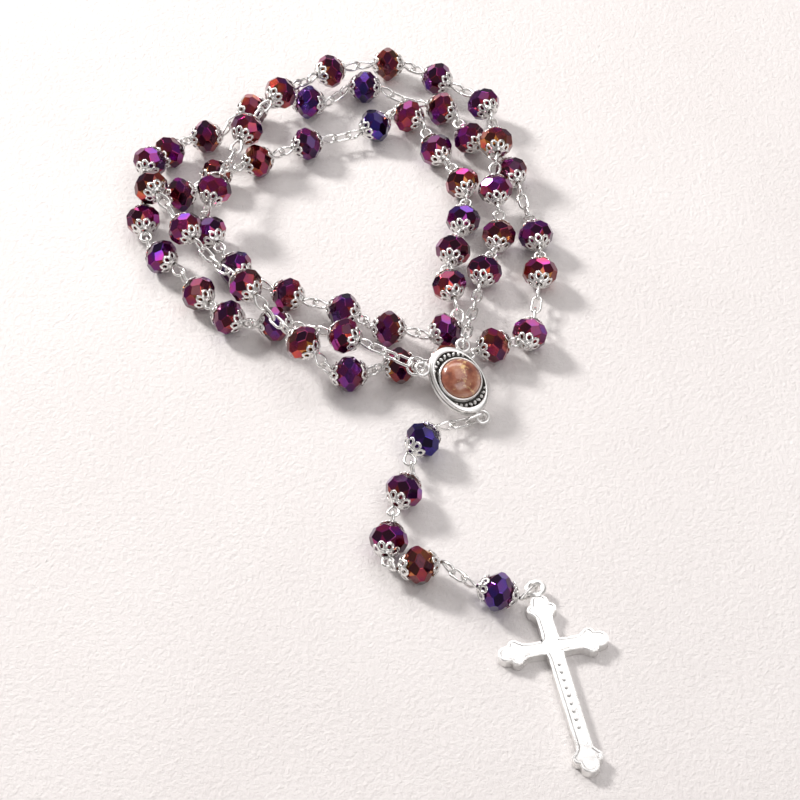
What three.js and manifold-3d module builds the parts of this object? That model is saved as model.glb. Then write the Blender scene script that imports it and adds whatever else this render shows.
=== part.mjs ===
// A five-decade rosary lying as it was put down: a loop of fifty-four beads, an oval centrepiece,
// a pendant of five beads and a crucifix. Millimetres, +Z up, everything rests on z = 0.
// Each bead is threaded on a wire pin that ends in an eye at both sides, and the eyes hang in one another.
import * as THREE from 'three';
import Module from 'manifold-3d';
import { mergeVertices } from 'three/addons/utils/BufferGeometryUtils.js';

const wasm = await Module();
wasm.setup();

// Driving dimensions
const BEAD_RADIUS = 4.0;
const BEAD_HALF_LENGTH = 3.0;
const BEAD_FLAT_RADIUS = 2.0;
const GIRDLE_HALF_LENGTH = 0.75;
const BEAD_BORE_RADIUS = 0.8;
const CAP_RADIUS = 2.7;
const CAP_NECK_RADIUS = 1.1;
const CAP_BORE_RADIUS = 0.75;
const CAP_LENGTH = 0.8;
const CLEARANCE = 0.3;
const PIN_RADIUS = 0.4;
const WIRE_RADIUS = 0.32;
const EYE_HALF_WIDTH = 1.25;
const LINK_LENGTH = 3.5;
const HOOK_REACH = 0.5;
const WELD_REACH = 0.12;
const SAG_PER_LINK = 0.7;
const LOWEST_LINK = 1.7;
const SETTING_SIDES = 16;
const CROSS_RING_STEPS = 12;
const ROUND_SIDES = 8;
const PLAIN_SIDES = 6;
const WIRE_SIDES = 3;
const LINK_STEPS = 6;
const HEAD_LINKS = 3;

const CENTREPIECE = { x: 12.6, y: -0.1, z: 6.2, turn: 38, tilt: 27 };
const OVAL_HALF_LENGTH = 8.2;
const OVAL_HALF_WIDTH = 5.9;
const FRAME_THICKNESS = 2.2;
const FRAME_BEVEL = 0.5;
const BEZEL_RADIUS = 5.1;
const BEZEL_HEIGHT = 0.5;
const SEAT_RADIUS = 4.7;
const SEAT_DEPTH = 1.2;
const STONE_RADIUS = 4.35;
// The stone's dome, as shares of its height and of its radius
const STONE_DOME = 2.2;
const DOME_CURVE = [[0, 1], [0.6, 0.75], [0.9, 0.4], [1, 0]];
const HANGER_RADIUS = 1.4;
const HANGER_WIRE = 0.38;
const HANGERS = { right: [5.6, 6.2], left: [-5.6, 6.2], bottom: [0, -9.3] };

const CRUCIFIX = { x: 30.3, y: -67.3, turn: 12 };
const CROSS_THICKNESS = 2.2;
const CROSS_BEVEL = 0.4;
const ARM_HALF_WIDTH = 1.6;
// Right, top, left and bottom arm, from the crossing to the tip
const ARM_LENGTHS = [11.2, 13.0, 11.2, 30.2];
// An arm's three-lobed end, as distance back from its tip and half width
const LOBE_EDGE = [[5.6, ARM_HALF_WIDTH], [3.2, 3.0], [1.4, 1.8], [0, 0.75]];
const CROSS_RING_RADIUS = 1.6;
const CROSS_RING_WIRE = 0.55;
const CROSS_RING_HEIGHT = 2.0;
const CROSS_RING_PLACE = 14.6;

// Where each bead's centre lies, as x, y, z, then its heading and its rise in degrees where the wire
// turns it away from the line between its neighbours. A bead one bead radius high lies on the table.
const DECADES = [
  [
    [19, 35.5, 4], [22.5, 46.5, 4.5], [22, 59, 7, 95], [22.5, 73, 9], [20, 90.5, 5.5],
    [9, 101.5, 4], [-3, 107, 4], [-17, 102, 6], [-28.5, 90, 9.5], [-36, 77, 9.5],
  ],
  [
    [-43.5, 48, 4, -60], [-37, 36.5, 4], [-25, 28, 4], [-12.5, 23, 4], [-2.5, 17.5, 4, -5],
    [10, 17, 4, 30], [11, 30, 5, 105], [12, 41, 5], [14.5, 52, 4], [14.5, 64.5, 4, 110],
  ],
  [
    [2, 88, 4], [-6, 84.5, 4, -145], [-22, 78, 4], [-33.5, 72, 4], [-43, 67, 4],
    [-51, 60.5, 4, -165], [-57, 56.5, 10, -60], [-48.5, 43.5, 9.5], [-34, 24.5, 10.5], [-21, 8.5, 9],
  ],
  [
    [0, 6.5, 4, 5], [10.5, 8, 4], [20.5, 12.5, 4], [28.5, 16, 4, 75], [31.5, 35, 4],
    [31, 47, 4], [26, 68, 4], [16.5, 80, 4], [10, 90.5, 4, 155], [-8.5, 98.5, 4, 175],
  ],
  [
    [-35.5, 90, 4], [-46, 80.5, 4, -170], [-54.5, 75, 4, -130], [-58.5, 69.5, 6], [-59, 52, 4],
    [-54, 40, 4, -40], [-45, 28.5, 4], [-38, 21, 4], [-27.5, 19, 4, 0], [-12, 11.5, 8, -30],
  ],
];
const SINGLES = [
  [-42.5, 56, 10, -105], [8.5, 76, 4], [-11, 4, 4, 5], [-22, 93, 4, 170],
];
const PENDANT = [
  [4.8, -15, 4, -130], [0.8, -29, 4, -115], [-2.3, -42, 4, -100], [3.8, -48.6, 4, 10],
  [19.6, -55.4, 4.1, -8, -15],
];
// How far from a bead's centre its eyes start, where the caps are fixed and where they are loose
const FIXED_REACH = BEAD_HALF_LENGTH + CAP_LENGTH;
const LOOSE_REACH = FIXED_REACH + 2 * CLEARANCE + WIRE_RADIUS + 2 * WELD_REACH;
const PIN_HALF_LENGTH = LOOSE_REACH + 2 * WELD_REACH;
const BEADS_PER_DECADE = 10;
const BEADS_PER_PAIR = 2;

const COLOURS = {
  glass: { color: 0x4a1c5e, roughness: 0.12, metalness: 0.6 },
  silver: { color: 0xd8d8da, roughness: 0.25, metalness: 1 },
  stone: { color: 0xb4673f, roughness: 0.1, metalness: 0 },
};

const UP = new THREE.Vector3(0, 0, 1);
const rosary = new THREE.Group();

function toSolid(geometry) {
  const bare = geometry.clone();
  bare.deleteAttribute('normal');
  bare.deleteAttribute('uv');
  const merged = mergeVertices(bare);
  return new wasm.Manifold(new wasm.Mesh({
    numProp: 3,
    vertProperties: new Float32Array(merged.attributes.position.array),
    triVerts: new Uint32Array(merged.index.array),
  }));
}

function toGeometry(solid) {
  const mesh = solid.getMesh();
  const geometry = new THREE.BufferGeometry();
  geometry.setAttribute('position', new THREE.BufferAttribute(mesh.vertProperties, 3));
  geometry.setIndex(new THREE.BufferAttribute(mesh.triVerts, 1));
  geometry.computeVertexNormals();
  return geometry;
}

function joined(geometries) {
  return toGeometry(geometries.map(toSolid).reduce((whole, piece) => whole.add(piece)));
}

function addPiece(name, geometry, colour, parent = rosary) {
  const mesh = new THREE.Mesh(geometry, new THREE.MeshStandardMaterial(COLOURS[colour]));
  mesh.name = name;
  parent.add(mesh);
}

// A body of revolution along +X, from [distance along X, radius] points.
function turned(points, sides = ROUND_SIDES) {
  const profile = points.map(([along, radius]) => new THREE.Vector2(radius, along));
  return new THREE.LatheGeometry(profile, sides).rotateZ(-Math.PI / 2);
}

// Moves a shape made along +X to an origin, pointing along a direction, with its +Z near up.
function aimed(geometry, origin, direction, up = UP) {
  const x = direction.clone().normalize();
  const y = up.clone().cross(x).normalize();
  const z = x.clone().cross(y);
  return geometry.applyMatrix4(new THREE.Matrix4().makeBasis(x, y, z).setPosition(origin));
}

// A long wire ring whose wire runs round the line from start to end, standing upright or lying flat.
function wireLink(start, end, upright) {
  const way = end.clone().sub(start);
  const halfLength = Math.max(way.length() / 2, EYE_HALF_WIDTH);
  const ring = new THREE.TorusGeometry(EYE_HALF_WIDTH, WIRE_RADIUS, WIRE_SIDES, LINK_STEPS);
  const place = ring.attributes.position;
  for (let i = 0; i < place.count; i += 1) {
    const x = place.getX(i);
    place.setX(i, x + Math.sign(x) * (halfLength - EYE_HALF_WIDTH));
  }
  if (upright) {
    ring.rotateX(Math.PI / 2);
  }
  return aimed(ring, start.clone().lerp(end, 0.5), way);
}

// Wire links from one point to another, flat and upright by turns.
// hangs(i) says whether link i hangs in link i - 1 instead of being welded to it.
function wireChain(from, to, { fewest = 2, hangs = () => false, sagging = true }) {
  const count = Math.max(fewest, Math.round(from.distanceTo(to) / LINK_LENGTH));
  const sag = sagging ? Math.max(count - 2, 0) * SAG_PER_LINK : 0;
  const knots = [];
  for (let i = 0; i <= count; i += 1) {
    const t = i / count;
    const knot = from.clone().lerp(to, t);
    const lowest = Math.min(knot.z, LOWEST_LINK);
    const droop = 4 * t * (1 - t);
    knot.z = Math.max(knot.z - sag * droop, lowest);
    knots.push(knot);
  }
  const reach = (i) => (i > 0 && i < count && hangs(i, count) ? HOOK_REACH : WELD_REACH);
  const links = [];
  for (let i = 0; i < count; i += 1) {
    const way = knots[i + 1].clone().sub(knots[i]).normalize();
    const start = knots[i].clone().addScaledVector(way, -reach(i));
    const end = knots[i + 1].clone().addScaledVector(way, reach(i + 1));
    links.push(wireLink(start, end, (count - 1 - i) % 2 === 0));
  }
  return links;
}

const lastHangs = (i, count) => i === count - 1;
const allHang = () => true;

// A bead's place in the row: its centre, the way its pin points, and where its two eyes start.
function station([x, y, z, heading, rise], previous, next, reach) {
  const centre = new THREE.Vector3(x, y, z);
  const axis = next.clone().sub(previous);
  if (z === BEAD_RADIUS) {
    axis.z = 0;
  }
  axis.normalize();
  if (rise !== undefined) {
    axis.z = Math.sin(THREE.MathUtils.degToRad(rise));
  }
  if (heading !== undefined) {
    const level = Math.sqrt(1 - axis.z * axis.z);
    const angle = THREE.MathUtils.degToRad(heading);
    axis.set(level * Math.cos(angle), level * Math.sin(angle), axis.z);
  }
  return {
    centre,
    axis,
    entry: centre.clone().addScaledVector(axis, -reach),
    exit: centre.clone().addScaledVector(axis, reach),
  };
}

function stationsOf(rows, first, last, reach) {
  const points = [first, ...rows.map(([x, y, z]) => new THREE.Vector3(x, y, z)), last];
  return rows.map((row, i) => station(row, points[i], points[i + 2], reach));
}

const beadProfile = [
  [-BEAD_HALF_LENGTH, BEAD_FLAT_RADIUS], [-GIRDLE_HALF_LENGTH, BEAD_RADIUS],
  [GIRDLE_HALF_LENGTH, BEAD_RADIUS], [BEAD_HALF_LENGTH, BEAD_FLAT_RADIUS],
];
const capProfile = [[0, CAP_RADIUS], [CAP_LENGTH, CAP_NECK_RADIUS]];

function boredBead() {
  const bore = [[BEAD_HALF_LENGTH, BEAD_BORE_RADIUS], [-BEAD_HALF_LENGTH, BEAD_BORE_RADIUS]];
  return turned([...beadProfile, ...bore, beadProfile[0]]);
}

function boredCap() {
  const bore = [[CAP_LENGTH, CAP_BORE_RADIUS], [0, CAP_BORE_RADIUS]];
  return turned([...capProfile, ...bore, capProfile[0]]);
}

// A cap that is one piece with its pin, from the bead's end outwards.
function closedCap() {
  const ends = [[0, 0], [CAP_LENGTH, 0]];
  return turned([ends[0], ...capProfile, ends[1]]);
}

// Bead and caps in one, for the beads that share a node with their neighbour.
function cappedBead() {
  const reach = FIXED_REACH;
  return turned([
    [-reach, 0], [-reach, CAP_NECK_RADIUS], ...beadProfile.map(([x, r]) => [x, Math.max(r, CAP_RADIUS)]),
    [reach, CAP_NECK_RADIUS], [reach, 0],
  ], PLAIN_SIDES);
}

function pin() {
  const end = PIN_HALF_LENGTH;
  return turned([[-end, 0], [-end, PIN_RADIUS], [end, PIN_RADIUS], [end, 0]], PLAIN_SIDES);
}

function placedAt(place, geometry, along = 0, backwards = false) {
  const origin = place.centre.clone().addScaledVector(place.axis, along);
  const direction = backwards ? place.axis.clone().negate() : place.axis;
  return aimed(geometry, origin, direction);
}

function centrepieceGroup() {
  const group = new THREE.Group();
  const { x, y, z, turn, tilt } = CENTREPIECE;
  group.position.set(x, y, z);
  group.rotation.order = 'ZXY';
  group.rotation.set(THREE.MathUtils.degToRad(tilt), 0, THREE.MathUtils.degToRad(turn));
  group.updateMatrixWorld(true);
  return group;
}

const centrepiece = centrepieceGroup();
const hangerPlace = ([x, y]) => centrepiece.localToWorld(new THREE.Vector3(x, y, 0));

function addCentrepiece() {
  const outline = new THREE.Shape();
  outline.absellipse(0, 0, OVAL_HALF_WIDTH - FRAME_BEVEL, OVAL_HALF_LENGTH - FRAME_BEVEL, 0, 2 * Math.PI);
  const plate = new THREE.ExtrudeGeometry(outline, {
    depth: FRAME_THICKNESS - 2 * FRAME_BEVEL,
    bevelThickness: FRAME_BEVEL,
    bevelSize: FRAME_BEVEL,
    bevelSegments: 1,
    curveSegments: ROUND_SIDES,
  }).translate(0, 0, FRAME_BEVEL - FRAME_THICKNESS / 2);
  const top = FRAME_THICKNESS / 2;
  const upwards = (points) => turned(points, SETTING_SIDES).rotateY(-Math.PI / 2);
  const rim = top + BEZEL_HEIGHT;
  const bezel = upwards([[0, 0], [0, BEZEL_RADIUS], [rim, BEZEL_RADIUS], [rim, 0]]);
  const floor = top - SEAT_DEPTH;
  const seat = upwards([[floor, 0], [floor, SEAT_RADIUS], [2 * top, SEAT_RADIUS], [2 * top, 0]]);
  const hangers = Object.values(HANGERS).map(([x, y]) => (
    new THREE.TorusGeometry(HANGER_RADIUS, HANGER_WIRE, WIRE_SIDES, ROUND_SIDES).translate(x, y, 0)
  ));
  const cast = [plate, bezel, ...hangers].map(toSolid).reduce((whole, piece) => whole.add(piece));
  addPiece('centrepiece_frame', toGeometry(cast.subtract(toSolid(seat))), 'silver', centrepiece);

  const base = floor + CLEARANCE;
  const dome = DOME_CURVE.map(([rise, reach]) => [rim + STONE_DOME * rise, STONE_RADIUS * reach]);
  addPiece('cabochon', upwards([[base, 0], [base, STONE_RADIUS], ...dome]), 'stone', centrepiece);
  rosary.add(centrepiece);
}

// One arm's edge from root to root, seen from above with the arm along +Y: straight sides, then
// a lobe on each side and a rounded tip.
function armEdge(length) {
  const lobes = LOBE_EDGE.map(([back, halfWidth]) => [halfWidth, length - back]);
  const half = [[ARM_HALF_WIDTH, ARM_HALF_WIDTH], ...lobes];
  const mirrored = half.slice(1).reverse().map(([x, y]) => [-x, y]);
  return [...half, ...mirrored].map(([x, y]) => new THREE.Vector2(x, y));
}

function addCrucifix() {
  const centre = new THREE.Vector2();
  const points = ARM_LENGTHS.flatMap((length, i) => {
    const angle = (i - 1) * Math.PI / 2;
    return armEdge(length - CROSS_BEVEL).map((point) => point.rotateAround(centre, angle));
  });
  const plate = new THREE.ExtrudeGeometry(new THREE.Shape(points), {
    depth: CROSS_THICKNESS - 2 * CROSS_BEVEL,
    bevelThickness: CROSS_BEVEL,
    bevelSize: CROSS_BEVEL,
    bevelSegments: 1,
  }).translate(0, 0, CROSS_BEVEL);
  const ring = new THREE.TorusGeometry(CROSS_RING_RADIUS, CROSS_RING_WIRE, PLAIN_SIDES, CROSS_RING_STEPS);
  ring.translate(0, CROSS_RING_PLACE, CROSS_RING_HEIGHT);
  const group = new THREE.Group();
  group.position.set(CRUCIFIX.x, CRUCIFIX.y, 0);
  group.rotation.z = THREE.MathUtils.degToRad(CRUCIFIX.turn);
  addPiece('crucifix', joined([plate, ring]), 'silver', group);
  rosary.add(group);
  group.updateMatrixWorld(true);
  return group.localToWorld(new THREE.Vector3(0, CROSS_RING_PLACE, CROSS_RING_HEIGHT));
}

// The loop: from the centrepiece's right hanger through the five decades to its left hanger.
function addLoop() {
  const rows = DECADES.flatMap((decade, i) => (i < SINGLES.length ? [...decade, SINGLES[i]] : decade));
  const right = hangerPlace(HANGERS.right);
  const left = hangerPlace(HANGERS.left);
  const row = stationsOf(rows, right, left, FIXED_REACH);
  const pieceOf = row.map((_, i) => {
    const turn = Math.floor(i / (BEADS_PER_DECADE + 1));
    const inTurn = i % (BEADS_PER_DECADE + 1);
    const pair = Math.floor(inTurn / BEADS_PER_PAIR);
    return inTurn === BEADS_PER_DECADE ? `single_wire_${turn + 1}` : `decade_${turn + 1}_pair_${pair + 1}`;
  });
  const wires = new Map(pieceOf.map((name) => [name, []]));

  const opening = wireChain(right, row[0].entry, { sagging: false });
  wires.get(pieceOf[0]).push(...opening);
  row.forEach((place, i) => {
    const mine = wires.get(pieceOf[i]);
    if (pieceOf[i].startsWith('single')) {
      mine.push(placedAt(place, pin()));
      mine.push(placedAt(place, closedCap(), BEAD_HALF_LENGTH + CLEARANCE));
      mine.push(placedAt(place, closedCap(), -BEAD_HALF_LENGTH - CLEARANCE, true));
      addPiece(pieceOf[i].replace('wire', 'bead'), placedAt(place, boredBead()), 'glass');
    } else {
      mine.push(placedAt(place, cappedBead()));
    }
    if (i + 1 < row.length) {
      const together = pieceOf[i] === pieceOf[i + 1];
      const way = together ? { fewest: 1 } : { hangs: lastHangs };
      const links = wireChain(place.exit, row[i + 1].entry, way);
      const kept = together ? links.length : links.length - 1;
      mine.push(...links.slice(0, kept));
      wires.get(pieceOf[i + 1]).push(...links.slice(kept));
    }
  });
  const closing = wireChain(row.at(-1).exit, left, { hangs: lastHangs, sagging: false });
  addPiece('left_jump_ring', closing.pop(), 'silver');
  wires.get(pieceOf.at(-1)).push(...closing);
  wires.forEach((geometries, name) => {
    addPiece(name, joined(geometries), name.startsWith('single') ? 'silver' : 'glass');
  });
}

// The pendant: two links, five beads that each turn on a pin, one spacer link, and the crucifix's ring.
function addPendant(crossRing) {
  const bottom = hangerPlace(HANGERS.bottom);
  const row = stationsOf(PENDANT, bottom, crossRing, LOOSE_REACH);
  const head = wireChain(bottom, row[0].entry, { fewest: HEAD_LINKS, hangs: allHang });
  addPiece('pendant_link_1', head[0], 'silver');
  addPiece('pendant_link_2', head[1], 'silver');
  let entryEye = head[2];
  row.forEach((place, i) => {
    const number = i + 1;
    const isLast = number === row.length;
    const target = isLast ? crossRing : row[number].entry;
    const links = wireChain(place.exit, target, { fewest: isLast ? 1 : 2, hangs: allHang });
    addPiece(`pendant_wire_${number}`, joined([placedAt(place, pin()), entryEye, links[0]]), 'silver');
    addPiece(`pendant_bead_${number}`, placedAt(place, boredBead()), 'glass');
    const capPlace = BEAD_HALF_LENGTH + CLEARANCE;
    addPiece(`pendant_upper_cap_${number}`, placedAt(place, boredCap(), -capPlace, true), 'silver');
    addPiece(`pendant_lower_cap_${number}`, placedAt(place, boredCap(), capPlace), 'silver');
    if (links.length > 2) {
      addPiece('pendant_spacer_link', links[1], 'silver');
    }
    entryEye = links.at(-1);
  });
}

addCentrepiece();
addLoop();
addPendant(addCrucifix());

// The origin is on the table, under the middle of the whole rosary.
const middle = new THREE.Box3().setFromObject(rosary, true).getCenter(new THREE.Vector3());
rosary.position.set(-middle.x, -middle.y, 0);

export default rosary;
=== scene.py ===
# The looks of a five-decade rosary: faceted glass beads in pierced silver caps, wire eyes and links,
# an oval centrepiece with a domed stone, and a crucifix. Lengths are millimetres until metres().
import math
import random

import bmesh
import bpy
from mathutils import Matrix, Vector


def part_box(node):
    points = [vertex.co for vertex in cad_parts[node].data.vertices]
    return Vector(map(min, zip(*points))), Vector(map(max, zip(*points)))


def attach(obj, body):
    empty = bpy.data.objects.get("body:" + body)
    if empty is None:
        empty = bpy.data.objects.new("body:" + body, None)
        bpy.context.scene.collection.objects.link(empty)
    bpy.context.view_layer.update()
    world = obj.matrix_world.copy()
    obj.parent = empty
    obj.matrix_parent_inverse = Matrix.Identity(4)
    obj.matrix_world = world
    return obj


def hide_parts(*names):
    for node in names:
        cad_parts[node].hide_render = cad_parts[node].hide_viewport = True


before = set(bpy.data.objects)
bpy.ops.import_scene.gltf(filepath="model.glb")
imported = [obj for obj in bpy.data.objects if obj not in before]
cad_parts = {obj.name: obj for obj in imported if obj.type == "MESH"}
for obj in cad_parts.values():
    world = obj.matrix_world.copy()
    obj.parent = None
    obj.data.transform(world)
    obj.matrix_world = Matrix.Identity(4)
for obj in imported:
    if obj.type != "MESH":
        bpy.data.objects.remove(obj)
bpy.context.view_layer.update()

# Driving dimensions: beads
BEAD_RADIUS = 4.0
BEAD_HALF_LENGTH = 2.85
BEAD_FACETS = 8
FACET_EDGE = 0.05
# Each row of facets: its name, its turn as a share of one facet, the way its facets face (along the pin
# and away from it), and how far out they lie: that way times a point on the facet
FACET_ROWS = [
    ("belt", 0.0, (0.0, 1.0), 3.74),
    ("shoulder", 0.5, (1.85, 2.5), 10.78),
    ("collar", 0.0, (1.55, 1.4), 7.15),
]
BEAD_WELD = 0.01
# A face belongs to a row of facets when the cosine between their normals is above this
SAME_WAY = 0.9995

# Caps: a dome of petals from a neck to a rim, round a small collar
CAP_RADIUS = 2.95
CAP_NECK_RADIUS = 0.62
CAP_HEIGHT = 0.95
CAP_RIM_DROP = 0.6
CAP_CURVE = 2.3
CAP_THICKNESS = 0.22
CAP_WELD = 0.005
CAP_PETALS = 8
CAP_DISC_SHARES = (0.0, 0.16, 0.34)
COLLAR_RADIUS = 0.95
COLLAR_WIRE = 0.2
COLLAR_STEPS = 16
# A petal and its hole: half width in millimetres, then middle and reach as shares of the dome
PETAL_STEPS = 16
PETAL_HALF_WIDTH = 1.05
PETAL_MIDDLE = 0.66
PETAL_REACH = 0.34
PETAL_ROOT_SQUARENESS = 0.4
HOLE_HALF_WIDTH = 0.5
HOLE_MIDDLE = 0.67
HOLE_REACH = 0.17
HOLE_TAPER = 0.2

# Wire
WIRE_RADIUS = 0.33
WIRE_SIDES = 8
EYE_HALF_WIDTH = 1.2
# Makes the widest place of a pear-shaped eye as wide as its half width says
PEAR_SWELL = 1.3
LINK_HALF_WIDTH = 1.0
LINK_LENGTH = 3.5
LINK_STEPS = 24
HEAD_LINKS = 3
HOOK_REACH = 0.4
JUMP_RING_RADIUS = 1.95
JUMP_RING_FACING = Vector((0, -0.5, 0.85))
SAG_PER_LINK = 0.7
LOWEST_LINK = 1.7
# How far from a bead's centre its eyes start, where the caps are fixed and where they are loose,
# and how far its pin runs on into them
FIXED_REACH = 3.8
LOOSE_REACH = 4.96
LOOSE_GAP = 0.3
FIXED_PIN_OVERLAP = 0.35
LOOSE_PIN_OVERLAP = 0.2

# Centrepiece
CENTREPIECE = {"at": (12.6, -0.1, 6.2), "turn": 38, "tilt": 27}
HANGERS = {"right": (5.6, 6.2), "left": (-5.6, 6.2), "bottom": (0, -9.3)}
HANGER_RADIUS = 1.4
HANGER_WIRE = 0.38
RING_STEPS = 28
RING_SIDES = 10
# Its skin as oval rings, from the back over the rim, the sunk bands and the bezel down to the seat:
# half width, half length, height, darkness
MEDAL_RINGS = [
    (4.9, 7.2, -1.1, 0), (5.5, 7.8, -1.1, 0), (5.78, 8.08, -0.95, 0), (5.88, 8.18, -0.7, 0),
    (5.88, 8.18, -0.15, 0), (5.8, 8.1, 0.0, 0), (5.62, 7.92, 0.04, 0.5), (5.66, 7.96, 0.2, 0.4),
    (5.72, 8.02, 0.35, 0), (5.72, 8.02, 0.75, 0), (5.62, 7.92, 0.98, 0), (5.45, 7.65, 1.12, 0),
    (5.22, 6.95, 1.16, 0), (5.16, 6.65, 1.08, 0), (5.14, 6.55, 0.8, 1), (5.12, 5.6, 0.78, 1),
    (5.12, 5.16, 0.66, 1), (4.98, 5.0, 0.66, 1), (4.96, 4.96, 1.3, 0), (4.9, 4.9, 1.6, 0),
    (4.74, 4.74, 1.74, 0), (4.56, 4.56, 1.7, 0), (4.46, 4.46, 1.52, 0), (4.46, 4.46, -0.1, 0.8),
]
MEDAL_STEPS = 96
# The row of raised leaves in each sunk band: angles in degrees, lengths in millimetres
LEAVES_EACH_WAY = 4
LEAF_SPACING = 11
LEAF_SLANT = 30
LEAF_ROW_HALF_WIDTH = 5.65
LEAF_ROW_HALF_LENGTH = 5.92
LEAF_FLOOR = 0.84
LEAF_LENGTH = 1.45
LEAF_SHRINK = 0.14
LEAF_WIDTH = 0.85
LEAF_HEIGHT = 0.42
# A leaf's upper edge as a share of its outline, and how much its ends are drawn in
LEAF_SHOULDER = 0.55
LEAF_TAPER = 0.45
LEAF_STEPS = 10
STONE_RADIUS = 4.42
STONE_FOOT = (4.4, 4.4, 0.4, 0)
STONE_EDGE = 1.45
STONE_DOME = 2.3
STONE_RISE_STEPS = 15
STONE_STEPS = 72

# Crucifix
CRUCIFIX = {"at": (30.3, -67.3, 0), "turn": 12}
CROSS_THICKNESS = 2.2
CROSS_BEVEL = 0.18
ARM_HALF_WIDTH = 1.6
ARM_FLARE = 1.75
ARM_LENGTHS = (11.2, 13.0, 11.2, 30.2)
# How far from the crossing the root's flare ends, and how far from the tip the other one lies
ARM_ROOT = 3.4
ARM_TIP_FLARE = (6.4, 5.6)
# Each lobe's centre beside the arm's middle and back from its tip, its radius, and where its arc runs
ARM_LOBES = [(1.7, 3.6, 1.3, -60, 80), (0, 1.85, 1.85, 22, 90)]
LOBE_STEPS = 6
# The steps in from the edge of the cross's face to its sunk field: width and drop
CROSS_INSETS = [(0.2, 0.0), (0.28, 0.0), (0.2, -0.1)]
CROSS_RING_RADIUS = 1.65
CROSS_RING_WIRE = 0.62
CROSS_RING_PLACE = (0, 14.6, 2.0)
LOZENGES = 9
LOZENGE_FIRST = -4.5
LOZENGE_SPACING = 1.9
LOZENGE_SIZE = (1.4, 1.1, 0.2)
LOZENGE_TONE = (0.3, 0.0, 0.0)
# Points this close to a height are at it, and a face whose normal rises less than this is a wall
FLAT = 0.001
STEEP = 0.5

# Each bead's centre as x, y, z, then its heading and its rise in degrees where the wire turns it.
DECADES = [
    [
        (19, 35.5, 4), (22.5, 46.5, 4.5), (22, 59, 7, 95), (22.5, 73, 9), (20, 90.5, 5.5),
        (9, 101.5, 4), (-3, 107, 4), (-17, 102, 6), (-28.5, 90, 9.5), (-36, 77, 9.5),
    ],
    [
        (-43.5, 48, 4, -60), (-37, 36.5, 4), (-25, 28, 4), (-12.5, 23, 4), (-2.5, 17.5, 4, -5),
        (10, 17, 4, 30), (11, 30, 5, 105), (12, 41, 5), (14.5, 52, 4), (14.5, 64.5, 4, 110),
    ],
    [
        (2, 88, 4), (-6, 84.5, 4, -145), (-22, 78, 4), (-33.5, 72, 4), (-43, 67, 4),
        (-51, 60.5, 4, -165), (-57, 56.5, 10, -60), (-48.5, 43.5, 9.5), (-34, 24.5, 10.5), (-21, 8.5, 9),
    ],
    [
        (0, 6.5, 4, 5), (10.5, 8, 4), (20.5, 12.5, 4), (28.5, 16, 4, 75), (31.5, 35, 4),
        (31, 47, 4), (26, 68, 4), (16.5, 80, 4), (10, 90.5, 4, 155), (-8.5, 98.5, 4, 175),
    ],
    [
        (-35.5, 90, 4), (-46, 80.5, 4, -170), (-54.5, 75, 4, -130), (-58.5, 69.5, 6), (-59, 52, 4),
        (-54, 40, 4, -40), (-45, 28.5, 4), (-38, 21, 4), (-27.5, 19, 4, 0), (-12, 11.5, 8, -30),
    ],
]
SINGLES = [(-42.5, 56, 10, -105), (8.5, 76, 4), (-11, 4, 4, 5), (-22, 93, 4, 170)]
PENDANT = [
    (4.8, -15, 4, -130), (0.8, -29, 4, -115), (-2.3, -42, 4, -100), (3.8, -48.6, 4, 10),
    (19.6, -55.4, 4.1, -8, -15),
]
BEADS_PER_DECADE = 10
BEADS_PER_PAIR = 2

# Each bead's own hue: 0 is blue, 0.3 violet, 0.5 plum, 0.65 crimson, 1 gold
PENDANT_CASTS = (0.06, 0.42, 0.4, 0.62, 0.14)
LOOP_CASTS = (0.34, 0.38, 0.42, 0.45, 0.48, 0.5, 0.5, 0.52, 0.55, 0.6)
# The hues of the loop beads that stand out in the photo, by their place along the loop from 0
LOOP_ACCENTS = {3: 0.74, 6: 0.72, 23: 0.08, 24: 0.32, 25: 0.6, 30: 0.62, 42: 0.18, 43: 0.26}
HUE_SPREAD = 0.07
# How far each row of facets is from its bead's own hue, and how bright its darkest facet is. The rows near
# the caps are shifted towards gold and lifted, partly for the coating's tint and partly as painted orange
# glints. The bevelled edges are lifted as painted highlight lines along the facet edges.
FACET_TINTS_AND_GLINTS = {
    "belt": (0.0, 0.1),
    "shoulder": (0.12, 0.1),
    "collar": (0.3, 0.3),
    "end": (0.3, 0.5),
    "edge": (0.1, 0.35),
}

# The stage, in metres and degrees
FLOOR_SIZE = 6
LENS = 110.25
CAMERA_DISTANCE = 0.531
CAMERA_TILT = 48
WARM_WHITE = (1.0, 0.98, 0.96)
WHITE = (1.0, 0.98, 0.98)
# Each light's name, place, width and depth, power and colour
LIGHTS = [
    ("key", (-0.7, 0.6, 0.62), (0.2, 0.2), 13, WARM_WHITE),
    ("back", (0.0, 0.8, 0.85), (0.9, 0.35), 3.5, WHITE),
    ("overhead", (0.45, 0.08, 1.05), (0.7, 0.7), 2.2, WHITE),
    ("fill", (0.5, -0.8, 0.9), (0.9, 0.6), 3.8, WHITE),
]
STUDIO_COLOUR = (1.0, 0.96, 0.95, 1)
STUDIO_STRENGTH = 0.3

AHEAD = Vector((1, 0, 0))
ASIDE = Vector((0, 1, 0))
UP = Vector((0, 0, 1))
MILLIMETRES = 1000
NO_TONE = (0.0, 0.0, 0.0)
SEED = 33
chance = random.Random(SEED)

# The frame's origin is not where the places above start, so one bead's place in the frame sets the shift.
box_low, box_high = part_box("single_bead_2")
ORIGIN = (Vector(box_low) + Vector(box_high)) / 2 * MILLIMETRES - Vector(SINGLES[1])


def metres(point):
    return (point + ORIGIN) / MILLIMETRES


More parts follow.
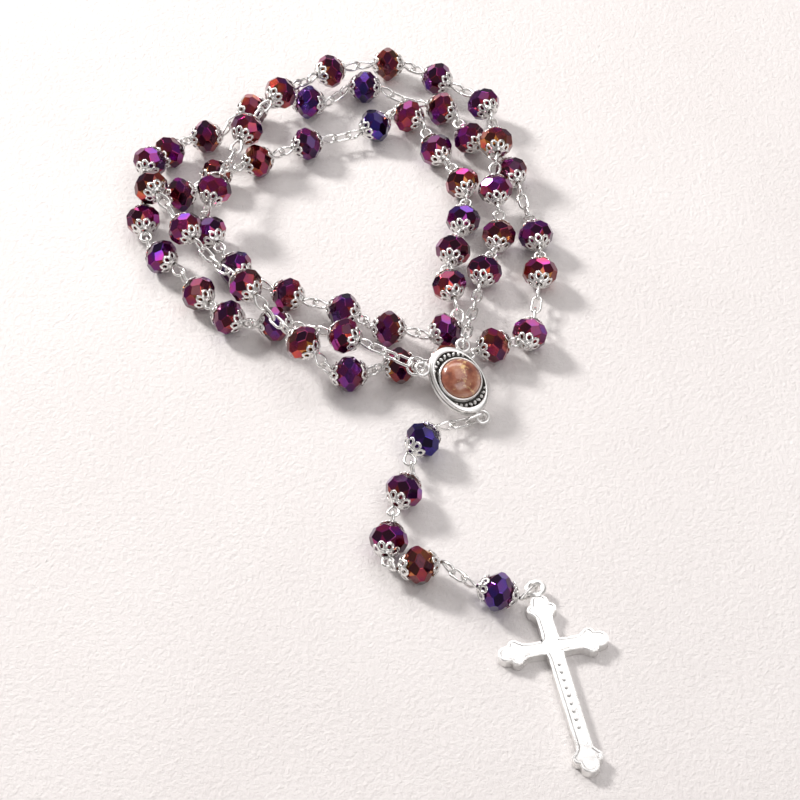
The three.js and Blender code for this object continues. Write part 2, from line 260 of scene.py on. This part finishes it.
class Form:
    """Points in millimetres, faces, and for each face a tone: three numbers that its material reads."""

    def __init__(self):
        self.points = []
        self.faces = []
        self.tones = []

    def add(self, points, faces, tones=None):
        first = len(self.points)
        self.points.extend(points)
        self.faces.extend([tuple(first + i for i in face) for face in faces])
        self.tones.extend(tones or [NO_TONE] * len(faces))

    def join(self, other):
        self.add(other.points, other.faces, other.tones)

    def put(self, other, place, tones=None):
        self.add([place @ point for point in other.points], other.faces, tones or other.tones)

    def take(self, mesh):
        """Adds a bmesh's faces, and frees it."""
        mesh.verts.index_update()
        faces = [tuple(vertex.index for vertex in face.verts) for face in mesh.faces]
        self.add([vertex.co.copy() for vertex in mesh.verts], faces)
        mesh.free()


def show(name, form, material, body, nodes, smooth=True):
    """Makes a form a piece that rides a body and stands for the given CAD nodes."""
    mesh = bpy.data.meshes.new(name)
    mesh.from_pydata([metres(point) for point in form.points], [], form.faces)
    mesh.materials.append(material)
    tone = mesh.attributes.new("tone", "FLOAT_VECTOR", "FACE")
    tone.data.foreach_set("vector", [value for values in form.tones for value in values])
    mesh.polygons.foreach_set("use_smooth", [smooth] * len(mesh.polygons))
    mesh.update()
    piece = bpy.data.objects.new(name, mesh)
    bpy.context.scene.collection.objects.link(piece)
    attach(piece, body)
    if nodes:
        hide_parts(*nodes)


def aimed(origin, direction):
    """A place at the origin given, with +X along the direction and +Z near up."""
    x = direction.normalized()
    y = UP.cross(x).normalized()
    place = Matrix((x, y, x.cross(y))).transposed().to_4x4()
    place.translation = origin
    return place


# Where things are

def station(row, before, after, reach):
    """A bead's centre, the way its pin points, and where its two eyes start."""
    centre = Vector(row[:3])
    axis = after - before
    if centre.z == BEAD_RADIUS:
        axis.z = 0
    axis.normalize()
    if len(row) > 4:
        axis.z = math.sin(math.radians(row[4]))
    if len(row) > 3:
        level = math.sqrt(1 - axis.z * axis.z)
        heading = math.radians(row[3])
        axis = Vector((level * math.cos(heading), level * math.sin(heading), axis.z))
    return {"centre": centre, "axis": axis, "entry": centre - axis * reach, "exit": centre + axis * reach}


def stations_of(rows, first, last, reach):
    points = [first, *(Vector(row[:3]) for row in rows), last]
    return [station(row, points[i], points[i + 2], reach) for i, row in enumerate(rows)]


def chain_knots(start, goal, fewest=2, sagging=True):
    """The points between which a chain's links run, hanging a little lower in the middle."""
    count = max(fewest, round((goal - start).length / LINK_LENGTH))
    sag = max(count - 2, 0) * SAG_PER_LINK if sagging else 0
    knots = []
    for i in range(count + 1):
        share = i / count
        knot = start.lerp(goal, share)
        lowest = min(knot.z, LOWEST_LINK)
        knot.z = max(knot.z - 4 * sag * share * (1 - share), lowest)
        knots.append(knot)
    return knots


def in_place(at, turn, tilt=0.0):
    spin = Matrix.Rotation(math.radians(turn), 4, "Z") @ Matrix.Rotation(math.radians(tilt), 4, "X")
    return Matrix.Translation(Vector(at)) @ spin


MEDAL = in_place(CENTREPIECE["at"], CENTREPIECE["turn"], CENTREPIECE["tilt"])


def hanger_point(side):
    x, y = HANGERS[side]
    return MEDAL @ Vector((x, y, 0))


# Wire

def tube(path, normal, radius, sides=WIRE_SIDES, closed=True):
    """A round wire along a flat path."""
    form = Form()
    count = len(path)
    points = []
    for i, point in enumerate(path):
        ahead = path[(i + 1) % count] if closed or i + 1 < count else point
        behind = path[i - 1] if closed or i > 0 else point
        side = normal.cross(ahead - behind).normalized()
        for j in range(sides):
            angle = 2 * math.pi * j / sides
            points.append(point + (side * math.cos(angle) + normal * math.sin(angle)) * radius)
    faces = []
    for i in range(count if closed else count - 1):
        for j in range(sides):
            a, b = i * sides, (i + 1) % count * sides
            k = (j + 1) % sides
            faces.append((a + j, a + k, b + k, b + j))
    if not closed:
        faces.append(tuple(range(sides)))
        faces.append(tuple((count - 1) * sides + j for j in reversed(range(sides))))
    form.add(points, faces)
    return form


def circle(centre, first, second, radius, steps):
    """Points round a centre, from the first direction towards the second."""
    angles = [2 * math.pi * i / steps for i in range(steps)]
    return [centre + (first * math.cos(angle) + second * math.sin(angle)) * radius for angle in angles]


def oval_path(length, half_width):
    straight = max(length / 2 - half_width, 0)
    path = []
    for i in range(LINK_STEPS):
        angle = 2 * math.pi * i / LINK_STEPS
        x = half_width * math.cos(angle)
        path.append(Vector((x + math.copysign(straight, x), half_width * math.sin(angle), 0)))
    return path


def pear_path(length, half_width):
    path = []
    for i in range(LINK_STEPS):
        angle = 2 * math.pi * i / LINK_STEPS
        swell = PEAR_SWELL * math.sin(angle) * math.sin(angle / 2)
        path.append(Vector((length * (1 - math.cos(angle)) / 2, half_width * swell, 0)))
    return path


def link_place(start, end, upright):
    """Where a link made along +X lies: flat, or turned upright on its long axis."""
    place = aimed(start, end - start)
    return place @ Matrix.Rotation(math.pi / 2, 4, "X") if upright else place


def oval_link(start, end, upright):
    length = max((end - start).length, 2 * LINK_HALF_WIDTH)
    form = Form()
    ring = tube(oval_path(length, LINK_HALF_WIDTH), UP, WIRE_RADIUS)
    form.put(ring, link_place(start.lerp(end, 0.5), end, upright))
    return form


def wire_eye(neck, end, upright):
    """A pin's end bent into a pear-shaped eye, from its neck at the cap to its far end."""
    length = (end - neck).length
    form = Form()
    ring = tube(pear_path(length, EYE_HALF_WIDTH), UP, WIRE_RADIUS)
    form.put(ring, link_place(neck, end, upright))
    return form


def link_forms(start, goal, eye_first=False, eye_last=False, fewest=2, sagging=True):
    """The wire links of one chain, in order, with eyes where the chain begins or ends at a bead."""
    knots = chain_knots(start, goal, fewest, sagging)
    count = len(knots) - 1
    forms = []
    for i in range(count):
        way = (knots[i + 1] - knots[i]).normalized()
        upright = (count - 1 - i) % 2 == 0
        near = knots[i] - way * HOOK_REACH
        far = knots[i + 1] + way * HOOK_REACH
        if i == 0 and eye_first:
            forms.append(wire_eye(knots[i] - way * WIRE_RADIUS, far, upright))
        elif i == count - 1 and eye_last:
            forms.append(wire_eye(knots[i + 1] + way * WIRE_RADIUS, near, upright))
        else:
            forms.append(oval_link(near, far, upright))
    return forms


def jump_ring(start, end):
    """A round ring whose far side passes through the end point."""
    way = (end - start).normalized()
    normal = (JUMP_RING_FACING - way * JUMP_RING_FACING.dot(way)).normalized()
    centre = end - way * (JUMP_RING_RADIUS - WIRE_RADIUS)
    path = circle(centre, way, normal.cross(way), JUMP_RING_RADIUS, LINK_STEPS)
    return tube(path, normal, WIRE_RADIUS)


def add_pin(form, place, reach):
    start = place["centre"] - place["axis"] * reach
    end = place["centre"] + place["axis"] * reach
    side = UP.cross(place["axis"]).normalized()
    form.join(tube([start, end], side, WIRE_RADIUS, closed=False))


# Beads

def facet_planes():
    """Each facet's row, how far it is from the centre, and its normal."""
    planes = [("end", BEAD_HALF_LENGTH, AHEAD * way) for way in (1, -1)]
    for name, offset, (along, outward), product in FACET_ROWS:
        size = math.hypot(along, outward)
        for way in ((1, -1) if along else (1,)):
            for i in range(BEAD_FACETS):
                angle = 2 * math.pi * (i + offset) / BEAD_FACETS
                normal = Vector((way * along, outward * math.cos(angle), outward * math.sin(angle))) / size
                planes.append((name, product / size, normal))
    return planes


def facet_row(normal, planes):
    """The row of facets that a face is in, or the bevelled edge between two facets."""
    name, _, facing = max(planes, key=lambda plane: plane[2].dot(normal))
    return name if facing.dot(normal) > SAME_WAY else "edge"


def cut_bead():
    """A faceted rondelle along +X, cut from a block, with each face's row of facets."""
    cut = bmesh.new()
    bmesh.ops.create_cube(cut, size=3 * BEAD_RADIUS)
    planes = facet_planes()
    for _, distance, normal in planes:
        everything = cut.verts[:] + cut.edges[:] + cut.faces[:]
        edges = bmesh.ops.bisect_plane(
            cut, geom=everything, plane_co=normal * distance, plane_no=normal, clear_outer=True
        )["geom_cut"]
        bmesh.ops.holes_fill(cut, edges=[edge for edge in edges if isinstance(edge, bmesh.types.BMEdge)])
    bmesh.ops.remove_doubles(cut, verts=cut.verts, dist=BEAD_WELD)
    bmesh.ops.bevel(
        cut, geom=cut.edges[:], offset=FACET_EDGE, segments=1, affect="EDGES", clamp_overlap=True
    )
    bmesh.ops.recalc_face_normals(cut, faces=cut.faces)
    rows = [facet_row(face.normal, planes) for face in cut.faces]
    form = Form()
    form.take(cut)
    return form, rows


BEAD, BEAD_ROWS = cut_bead()


def bead_tones(cast):
    tones = []
    for row in BEAD_ROWS:
        # Rows near the caps and the bevelled edges come out lighter and golder: partly painted glints near
        # the caps, and painted highlight lines on the edges.
        shift, darkest = FACET_TINTS_AND_GLINTS[row]
        hue = min(max(cast + shift + chance.uniform(-HUE_SPREAD, HUE_SPREAD), 0.0), 1.0)
        tones.append((hue, darkest + (1 - darkest) * chance.random() ** 2, 0.0))
    return tones


def add_bead(form, station_of_bead, cast=None):
    place = aimed(station_of_bead["centre"], station_of_bead["axis"])
    spin = Matrix.Rotation(chance.uniform(0, 2 * math.pi), 4, "X")
    if cast is None:
        cast = chance.choice(LOOP_CASTS)
    form.put(BEAD, place @ spin, bead_tones(cast))


# Caps

def dome_radius(share):
    return CAP_NECK_RADIUS + (CAP_RADIUS - CAP_NECK_RADIUS) * share


def dome_point(angle, share):
    """A point on the cap's dome: share 0 at its neck, 1 at its rim."""
    radius = dome_radius(share)
    fall = share ** CAP_CURVE
    along = CAP_HEIGHT * (1 - fall) - CAP_RIM_DROP * fall
    return Vector((along, radius * math.cos(angle), radius * math.sin(angle)))


def petal_outline():
    """A petal's edge and its hole's edge as (angle, share) pairs that go round together."""
    half_angle = math.pi / CAP_PETALS
    outer = []
    inner = []
    for i in range(PETAL_STEPS):
        turn = 2 * math.pi * i / PETAL_STEPS
        across, along = math.sin(turn), math.cos(turn)
        share = HOLE_MIDDLE + HOLE_REACH * along
        taper = 1 - HOLE_TAPER + HOLE_TAPER * along
        inner.append((HOLE_HALF_WIDTH * across * taper / dome_radius(share), share))
        if along < 0:
            across = math.copysign(abs(across) ** PETAL_ROOT_SQUARENESS, across)
        share = PETAL_MIDDLE + PETAL_REACH * along
        angle = PETAL_HALF_WIDTH * across / dome_radius(share)
        outer.append((max(-half_angle, min(half_angle, angle)), share))
    return outer, inner


def bands(rings, steps):
    """Four-sided faces between closed rings of points."""
    faces = []
    for ring in range(rings - 1):
        for i in range(steps):
            a, b = ring * steps + i, ring * steps + (i + 1) % steps
            faces.append((a, b, b + steps, a + steps))
    return faces


def petal_skin():
    """The cap without thickness: pierced petals and the disc that joins them at the neck."""
    skin = Form()
    outline = petal_outline()
    for petal in range(CAP_PETALS):
        middle = 2 * math.pi * petal / CAP_PETALS
        points = [dome_point(middle + angle, share) for edge in outline for angle, share in edge]
        skin.add(points, bands(len(outline), PETAL_STEPS))
    disc_steps = 4 * CAP_PETALS
    disc = []
    for share in CAP_DISC_SHARES:
        for i in range(disc_steps):
            disc.append(dome_point(2 * math.pi * i / disc_steps, share))
    skin.add(disc, bands(len(CAP_DISC_SHARES), disc_steps))
    return skin


def pierced_cap():
    """A flower of pierced petals round a small collar, open along +X from the bead's end."""
    skin = petal_skin()
    thick = bmesh.new()
    verts = [thick.verts.new(point) for point in skin.points]
    for face in skin.faces:
        thick.faces.new([verts[i] for i in face])
    bmesh.ops.remove_doubles(thick, verts=thick.verts, dist=CAP_WELD)
    bmesh.ops.recalc_face_normals(thick, faces=thick.faces)
    bmesh.ops.solidify(thick, geom=thick.faces[:], thickness=CAP_THICKNESS)
    form = Form()
    form.take(thick)
    collar = circle(AHEAD * CAP_HEIGHT, ASIDE, UP, COLLAR_RADIUS, COLLAR_STEPS)
    form.join(tube(collar, AHEAD, COLLAR_WIRE))
    return form


CAP = pierced_cap()


def add_caps(form, place, gap=0.0, ways=(1, -1)):
    for way in ways:
        direction = place["axis"] * way
        origin = place["centre"] + direction * (BEAD_HALF_LENGTH + gap)
        spin = Matrix.Rotation(chance.uniform(0, math.pi), 4, "X")
        form.put(CAP, aimed(origin, direction) @ spin)


# Materials

class Paint:
    """A material's node tree, built with few words."""

    def __init__(self, name):
        self.material = bpy.data.materials.new(name)
        self.material.use_nodes = True
        self.nodes = self.material.node_tree.nodes
        self.links = self.material.node_tree.links
        self.shader = self.nodes["Principled BSDF"]

    def node(self, kind, **settings):
        node = self.nodes.new("ShaderNode" + kind)
        for key, value in settings.items():
            setattr(node, key, value)
        return node

    def join(self, source, target):
        self.links.new(source, target)

    def feed(self, value, socket):
        """Gives a socket a number, a colour or another node's output."""
        if isinstance(value, bpy.types.NodeSocket):
            self.join(value, socket)
        elif isinstance(value, tuple):
            socket.default_value = (*value, 1)
        else:
            socket.default_value = value

    def set(self, **values):
        for key, value in values.items():
            self.feed(value, self.shader.inputs[key.replace("_", " ")])

    def noise(self, scale, detail=4, roughness=0.55):
        noise = self.node("TexNoise")
        noise.inputs["Scale"].default_value = scale
        noise.inputs["Detail"].default_value = detail
        noise.inputs["Roughness"].default_value = roughness
        self.join(self.node("TexCoord").outputs["Object"], noise.inputs["Vector"])
        return noise.outputs["Fac"]

    def ramp(self, source, stops):
        ramp = self.node("ValToRGB")
        elements = ramp.color_ramp.elements
        while len(elements) < len(stops):
            elements.new(0.5)
        for element, (place, colour) in zip(elements, stops):
            element.position = place
            element.color = (*colour, 1)
        self.join(source, ramp.inputs["Fac"])
        return ramp.outputs["Color"]

    def mix(self, share, first, second):
        """A colour between two colours; a colour mix has its sockets at these three places."""
        mix = self.node("Mix", data_type="RGBA")
        for value, socket in ((share, 0), (first, 6), (second, 7)):
            self.feed(value, mix.inputs[socket])
        return mix.outputs[2]

    def span(self, source, low, high, from_low=0.0, from_high=1.0):
        span = self.node("MapRange")
        limits = {"From Min": from_low, "From Max": from_high, "To Min": low, "To Max": high}
        for key, value in limits.items():
            span.inputs[key].default_value = value
        self.join(source, span.inputs["Value"])
        return span.outputs["Result"]

    def sum(self, first, second):
        node = self.node("Math", operation="ADD")
        self.feed(first, node.inputs[0])
        self.feed(second, node.inputs[1])
        return node.outputs[0]

    def bump(self, height, strength, distance):
        bump = self.node("Bump")
        bump.inputs["Strength"].default_value = strength
        bump.inputs["Distance"].default_value = distance
        self.join(height, bump.inputs["Height"])
        self.join(bump.outputs["Normal"], self.shader.inputs["Normal"])

    def tone(self):
        tone = self.node("Attribute", attribute_name="tone")
        split = self.node("SeparateXYZ")
        self.join(tone.outputs["Vector"], split.inputs[0])
        return split.outputs


def coated_glass():
    """Dark glass under a coat: the tone's first number is its hue, the second how bright it is."""
    paint = Paint("coated_glass")
    tone = paint.tone()
    drift = paint.span(paint.noise(230, 1), -0.19, 0.19, 0.25, 0.75)
    colour = paint.ramp(paint.sum(tone[0], drift), [
        (0.0, (0.02, 0.012, 0.16)), (0.12, (0.05, 0.025, 0.42)), (0.3, (0.15, 0.014, 0.36)),
        (0.46, (0.30, 0.012, 0.24)), (0.62, (0.38, 0.014, 0.09)), (0.8, (0.6, 0.065, 0.035)),
        (1.0, (0.78, 0.34, 0.06)),
    ])
    paint.set(
        Base_Color=paint.mix(tone[1], (0.012, 0.003, 0.012), colour),
        Roughness=paint.span(paint.noise(900), 0.05, 0.15),
        Metallic=0.92, Coat_Weight=0.5, Coat_Roughness=0.04,
    )
    paint.bump(paint.noise(420, 2), 0.06, 0.0004)
    return paint.material


def silver(name, darkest, roughness, tarnish):
    """Bright silver plate, darkened where the tone's first number is high."""
    paint = Paint(name)
    cloud = paint.noise(300, 5)
    bright = paint.ramp(cloud, [(0.3, (0.80, 0.79, 0.77)), (0.7, (0.95, 0.945, 0.935))])
    speck = paint.span(paint.noise(1500, 3), 0, tarnish, 0.55, 0.75)
    worn = paint.mix(speck, bright, (0.42, 0.39, 0.36))
    paint.set(
        Base_Color=paint.mix(paint.tone()[0], worn, darkest),
        Roughness=paint.span(cloud, roughness - 0.06, roughness + 0.08, 0.3, 0.7),
        Metallic=1.0,
    )
    paint.bump(paint.noise(1100, 3), 0.12, 0.0002)
    return paint.material


def amber_stone():
    """Clear domed glass over pinkish-brown earth with pale gold flecks."""
    paint = Paint("amber_stone")
    earth = paint.ramp(paint.noise(280, 6, 0.62), [
        (0.3, (0.14, 0.03, 0.018)), (0.44, (0.34, 0.10, 0.05)), (0.56, (0.44, 0.18, 0.10)),
        (0.7, (0.52, 0.27, 0.20)),
    ])
    fleck = paint.span(paint.noise(520, 5, 0.7), 0, 1, 0.56, 0.68)
    paint.set(
        Base_Color=paint.mix(fleck, earth, (0.85, 0.58, 0.27)),
        Roughness=paint.span(paint.noise(600), 0.22, 0.4),
        Coat_Weight=1.0, Coat_Roughness=0.03, Specular_IOR_Level=0.6,
    )
    return paint.material


def floor_paint():
    """A pale, faintly clouded surface with a fine raised grain."""
    paint = Paint("pale_floor")
    colour = paint.ramp(paint.noise(14, 6), [(0.3, (0.82, 0.785, 0.775)), (0.7, (0.88, 0.85, 0.84))])
    grain = paint.noise(850, 5, 0.7)
    paint.set(Base_Color=paint.mix(paint.span(grain, 0, 0.3), colour, (0.56, 0.5, 0.48)), Roughness=0.75)
    paint.bump(grain, 0.7, 0.0008)
    return paint.material


GLASS = coated_glass()
SILVER = silver("bright_silver", darkest=(0.06, 0.055, 0.05), roughness=0.2, tarnish=0.35)
CAST_SILVER = silver("cast_silver", darkest=(0.035, 0.032, 0.03), roughness=0.3, tarnish=0.25)
STONE = amber_stone()


# The centrepiece

def nested_rings(rings, steps):
    """A closed skin from rings of (half width, half length, height, tone), filled at both ends."""
    form = Form()
    points = []
    for half_width, half_length, height, _ in rings:
        for i in range(steps):
            angle = 2 * math.pi * i / steps
            points.append(Vector((half_width * math.cos(angle), half_length * math.sin(angle), height)))
    faces = bands(len(rings), steps)
    tones = [(float(tone), 0.0, 0.0) for _, _, _, tone in rings[1:] for _ in range(steps)]
    faces.append(tuple(reversed(range(steps))))
    faces.append(tuple((len(rings) - 1) * steps + i for i in range(steps)))
    tones.extend([NO_TONE] * 2)
    form.add(points, faces, tones)
    return form


def ring_of(centre, radius, wire):
    return tube(circle(centre, AHEAD, ASIDE, radius, RING_STEPS), UP, wire, RING_SIDES)


def leaf(length, width, height):
    """A low pointed bump along +X."""
    form = Form()
    points = [Vector((0, 0, height))]
    shoulder_height = height * math.sqrt(1 - LEAF_SHOULDER * LEAF_SHOULDER)
    for share, z in ((LEAF_SHOULDER, shoulder_height), (1.0, -height)):
        for i in range(LEAF_STEPS):
            angle = 2 * math.pi * i / LEAF_STEPS
            x, y = math.cos(angle), math.sin(angle)
            half_width = width / 2 * (1 - LEAF_TAPER * x * x)
            points.append(Vector((length / 2 * x * share, half_width * y * share, z)))
    edges = [(1 + i, 1 + (i + 1) % LEAF_STEPS) for i in range(LEAF_STEPS)]
    faces = [(0, a, b) for a, b in edges]
    faces += [(a, a + LEAF_STEPS, b + LEAF_STEPS, b) for a, b in edges]
    form.add(points, faces)
    return form


def add_leaves(form):
    for end in (1, -1):
        for i in range(-LEAVES_EACH_WAY, LEAVES_EACH_WAY + 1):
            angle = math.radians(90 * end + i * LEAF_SPACING)
            slant = math.radians(LEAF_SLANT if i % 2 else -LEAF_SLANT)
            x, y = LEAF_ROW_HALF_WIDTH * math.cos(angle), LEAF_ROW_HALF_LENGTH * math.sin(angle)
            spot = Matrix.Translation((x, y, LEAF_FLOOR)) @ Matrix.Rotation(angle + slant, 4, "Z")
            form.put(leaf(LEAF_LENGTH - LEAF_SHRINK * abs(i), LEAF_WIDTH, LEAF_HEIGHT), MEDAL @ spot)


def add_centrepiece():
    form = Form()
    form.put(nested_rings(MEDAL_RINGS, MEDAL_STEPS), MEDAL)
    for x, y in HANGERS.values():
        form.put(ring_of(Vector((x, y, 0)), HANGER_RADIUS, HANGER_WIRE), MEDAL)
    add_leaves(form)
    show("centrepiece_frame_cast", form, CAST_SILVER, "strand", ["centrepiece_frame"])


def add_stone():
    rings = [STONE_FOOT]
    for i in range(STONE_RISE_STEPS):
        angle = math.pi / 2 * i / STONE_RISE_STEPS
        radius = STONE_RADIUS * math.cos(angle)
        rings.append((radius, radius, STONE_EDGE + STONE_DOME * math.sin(angle), 0))
    stone = Form()
    stone.put(nested_rings(rings, STONE_STEPS), MEDAL)
    show("cabochon_dome", stone, STONE, "strand", ["cabochon"])


# The loop and the pendant

def loop_names(count):
    """Each loop bead's node: two beads of a decade share one, and a single bead has its own."""
    names = []
    for i in range(count):
        turn, within = divmod(i, BEADS_PER_DECADE + 1)
        pair = within // BEADS_PER_PAIR
        single = within == BEADS_PER_DECADE
        names.append(f"single_wire_{turn + 1}" if single else f"decade_{turn + 1}_pair_{pair + 1}")
    return names


def show_loop(names, glass, wires):
    for name in dict.fromkeys(names):
        if name.startswith("single"):
            piece = name.replace("_wire", "")
            bead = name.replace("wire", "bead")
            show(f"{piece}_glass", glass[name], GLASS, piece, [bead], smooth=False)
            show(f"{piece}_silver", wires[name], SILVER, "strand", [name])
        else:
            show(f"{name}_glass", glass[name], GLASS, "strand", [name], smooth=False)
            show(f"{name}_silver", wires[name], SILVER, "strand", [])


def add_loop():
    rows = []
    for i, decade in enumerate(DECADES):
        rows += decade + SINGLES[i:i + 1]
    left, right = hanger_point("left"), hanger_point("right")
    row = stations_of(rows, right, left, FIXED_REACH)
    names = loop_names(len(row))
    glass = {name: Form() for name in names}
    wires = {name: Form() for name in names}

    for link in link_forms(right, row[0]["entry"], eye_last=True, sagging=False):
        wires[names[0]].join(link)
    for i, place in enumerate(row):
        gap = LOOSE_GAP if names[i].startswith("single") else 0.0
        add_bead(glass[names[i]], place, LOOP_ACCENTS.get(i))
        add_caps(wires[names[i]], place, gap)
        add_pin(wires[names[i]], place, FIXED_REACH + FIXED_PIN_OVERLAP)
        if i + 1 < len(row):
            links = link_forms(place["exit"], row[i + 1]["entry"], eye_first=True, eye_last=True)
            for link in links[:-1]:
                wires[names[i]].join(link)
            wires[names[i + 1]].join(links[-1])
    for link in link_forms(row[-1]["exit"], left, eye_first=True, sagging=False)[:-1]:
        wires[names[-1]].join(link)
    knots = chain_knots(row[-1]["exit"], left, sagging=False)
    ring = jump_ring(knots[-2], knots[-1])
    show("jump_ring", ring, SILVER, "strand", ["left_jump_ring"])
    show_loop(names, glass, wires)


def show_pendant_bead(number, place, cast):
    glass = Form()
    add_bead(glass, place, cast)
    node = f"pendant_bead_{number}"
    show(f"pendant_{number}_glass", glass, GLASS, f"bead_{number}", [node], smooth=False)
    for side, way in (("upper", -1), ("lower", 1)):
        cap = Form()
        add_caps(cap, place, LOOSE_GAP, (way,))
        name, node = f"pendant_{number}_{side}_flower", f"pendant_{side}_cap_{number}"
        show(name, cap, SILVER, f"wire_{number}", [node])


def add_pendant(ring_point):
    bottom = hanger_point("bottom")
    row = stations_of(PENDANT, bottom, ring_point, LOOSE_REACH)
    head = link_forms(bottom, row[0]["entry"], eye_last=True, fewest=HEAD_LINKS)
    show("head_link_1", head[0], SILVER, "first_link", ["pendant_link_1"])
    show("head_link_2", head[1], SILVER, "second_link", ["pendant_link_2"])
    entry_eye = head[2]
    for i, place in enumerate(row):
        number = i + 1
        last = number == len(row)
        target = ring_point if last else row[number]["entry"]
        fewest = 1 if last else 2
        links = link_forms(place["exit"], target, eye_first=True, eye_last=not last, fewest=fewest)
        wire = Form()
        wire.join(entry_eye)
        wire.join(links[0])
        add_pin(wire, place, LOOSE_REACH + LOOSE_PIN_OVERLAP)
        name, node = f"pendant_{number}_pin", f"pendant_wire_{number}"
        show(name, wire, SILVER, f"wire_{number}", [node])
        show_pendant_bead(number, place, PENDANT_CASTS[i])
        if len(links) > 2:
            show("spacer_oval", links[1], SILVER, "spacer", ["pendant_spacer_link"])
        entry_eye = links[-1]


# The crucifix

def arm_outline(length):
    """One arm's edge along +Y from its right root to its left root, with a three-lobed end."""
    last_straight, tip_flare = (length - back for back in ARM_TIP_FLARE)
    half = [
        (ARM_FLARE, ARM_FLARE), (ARM_HALF_WIDTH, ARM_ROOT),
        (ARM_HALF_WIDTH, last_straight), (ARM_FLARE, tip_flare),
    ]
    for lobe_x, back, radius, first, last in ARM_LOBES:
        for i in range(LOBE_STEPS + 1):
            angle = math.radians(first + (last - first) * i / LOBE_STEPS)
            half.append((lobe_x + radius * math.cos(angle), length - back + radius * math.sin(angle)))
    mirrored = [(-x, y) for x, y in reversed(half[:-1])]
    return half + mirrored


def cross_outline():
    outline = []
    for i, length in enumerate(ARM_LENGTHS):
        spin = Matrix.Rotation((i - 1) * math.pi / 2, 4, "Z")
        outline += [spin @ Vector((x, y, 0)) for x, y in arm_outline(length)]
    return outline


def lies_at(edge, height):
    return all(abs(vertex.co.z - height) < FLAT for vertex in edge.verts)


def meets_one_wall(edge):
    walls = [face for face in edge.link_faces if abs(face.normal.z) < STEEP]
    return len(walls) == 1


def cast_cross():
    """A plate in the shape of a cross, with a sunk field in its face and softened outer edges."""
    cast = bmesh.new()
    base = cast.faces.new([cast.verts.new(point) for point in cross_outline()])
    bmesh.ops.recalc_face_normals(cast, faces=cast.faces)
    grown = bmesh.ops.extrude_face_region(cast, geom=[base])["geom"]
    for vertex in [item for item in grown if isinstance(item, bmesh.types.BMVert)]:
        vertex.co.z += CROSS_THICKNESS
    bmesh.ops.recalc_face_normals(cast, faces=cast.faces)
    top = max(cast.faces, key=lambda face: face.calc_center_median().z)
    for width, drop in CROSS_INSETS:
        bmesh.ops.inset_region(cast, faces=[top], thickness=width, depth=drop, use_even_offset=True)
    back = [edge for edge in cast.edges if lies_at(edge, 0)]
    front = [edge for edge in cast.edges if lies_at(edge, CROSS_THICKNESS) and meets_one_wall(edge)]
    bmesh.ops.bevel(
        cast, geom=back + front, offset=CROSS_BEVEL, segments=2, affect="EDGES", clamp_overlap=True
    )
    form = Form()
    form.take(cast)
    return form


def add_crucifix():
    place = in_place(CRUCIFIX["at"], CRUCIFIX["turn"])
    form = Form()
    form.put(cast_cross(), place)
    form.put(ring_of(Vector(CROSS_RING_PLACE), CROSS_RING_RADIUS, CROSS_RING_WIRE), place)
    lozenge = leaf(*LOZENGE_SIZE)
    tones = [LOZENGE_TONE] * len(lozenge.faces)
    field = CROSS_THICKNESS + CROSS_INSETS[-1][1]
    for i in range(LOZENGES):
        spot = Matrix.Translation((0, LOZENGE_FIRST - LOZENGE_SPACING * i, field))
        form.put(lozenge, place @ spot @ Matrix.Rotation(math.pi / 2, 4, "Z"), tones)
    show("crucifix_cast", form, CAST_SILVER, "crucifix", ["crucifix"], smooth=False)
    return place @ Vector(CROSS_RING_PLACE)


add_centrepiece()
add_stone()
add_loop()
add_pendant(add_crucifix())


# The stage

def pale_floor():
    bpy.ops.mesh.primitive_plane_add(size=FLOOR_SIZE)
    floor = bpy.context.object
    floor.name = "floor"
    floor.data.materials.append(floor_paint())


def soft_light(name, place, size, power, colour):
    light = bpy.data.lights.new(name, "AREA")
    light.shape = "RECTANGLE"
    light.size, light.size_y = size
    light.energy = power
    light.color = colour
    lamp = bpy.data.objects.new(name, light)
    lamp.location = place
    lamp.rotation_euler = (-Vector(place)).to_track_quat("-Z", "Y").to_euler()
    bpy.context.scene.collection.objects.link(lamp)


def camera():
    lens = bpy.data.cameras.new("camera")
    lens.lens = LENS
    lens.clip_start = 0.01
    eye = bpy.data.objects.new("camera", lens)
    tilt = math.radians(CAMERA_TILT)
    looking = Vector((0, math.cos(tilt), -math.sin(tilt)))
    eye.location = metres(Vector((0, 0, 0))) - CAMERA_DISTANCE * looking
    eye.rotation_euler = (math.radians(90) - tilt, 0, 0)
    bpy.context.scene.collection.objects.link(eye)
    bpy.context.scene.camera = eye


def studio():
    world = bpy.data.worlds.new("studio")
    world.use_nodes = True
    background = world.node_tree.nodes["Background"]
    background.inputs["Color"].default_value = STUDIO_COLOUR
    background.inputs["Strength"].default_value = STUDIO_STRENGTH
    bpy.context.scene.world = world
    bpy.context.scene.view_settings.view_transform = "Standard"


pale_floor()
for light in LIGHTS:
    soft_light(*light)
studio()
camera()
